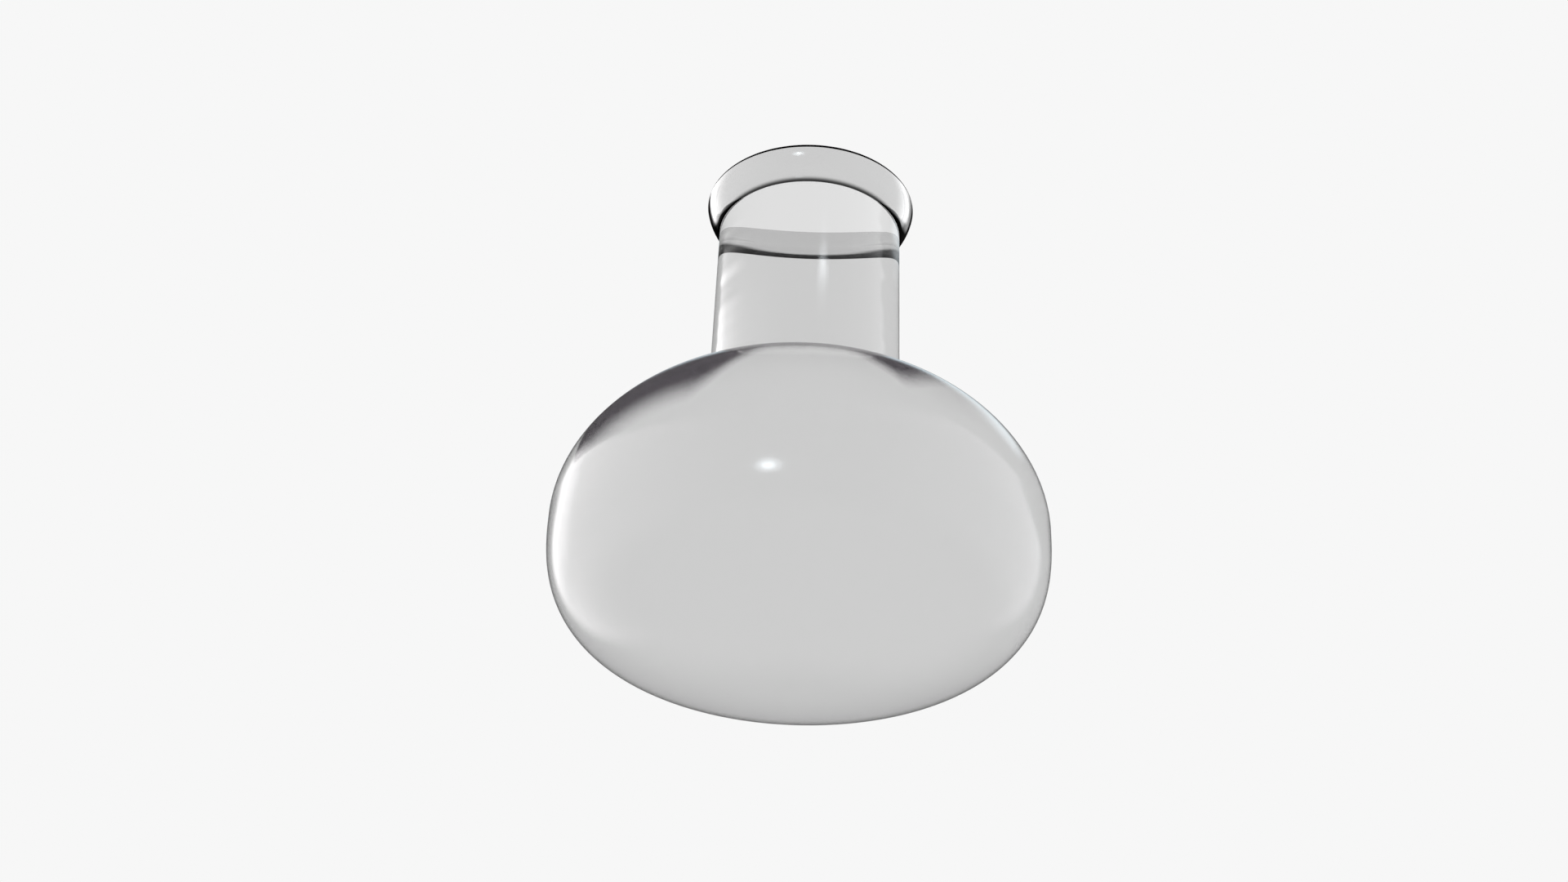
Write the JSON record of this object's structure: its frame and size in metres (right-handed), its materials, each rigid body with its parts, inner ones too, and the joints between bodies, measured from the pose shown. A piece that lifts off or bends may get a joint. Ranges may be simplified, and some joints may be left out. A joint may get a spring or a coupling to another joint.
{
  "type": "round bottom flask",
  "caption": "Squat round bottom flask of clear glass with a short straight neck and a flared, fire-polished lip; holds liquid and empties through the open mouth.",
  "frame": {"origin": "lowest point of the bulb, on the axis of the neck", "axes": "+Z along the axis of the neck, towards the open mouth; the part is the same all round, so +X and +Y are any two directions square to it"},
  "size_m": [0.085, 0.085, 0.0975],
  "materials": {
    "bulb_glass": "clear blown glass, smooth and slightly thicker than the neck",
    "neck_glass": "clear drawn glass tube, smooth",
    "lip_glass": "clear glass, flared and fire-polished"
  },
  "bodies": {
    "root": {"bulb": "bulb_glass", "neck_tube": "neck_glass", "lip": "lip_glass"}
  },
  "joints": []
}
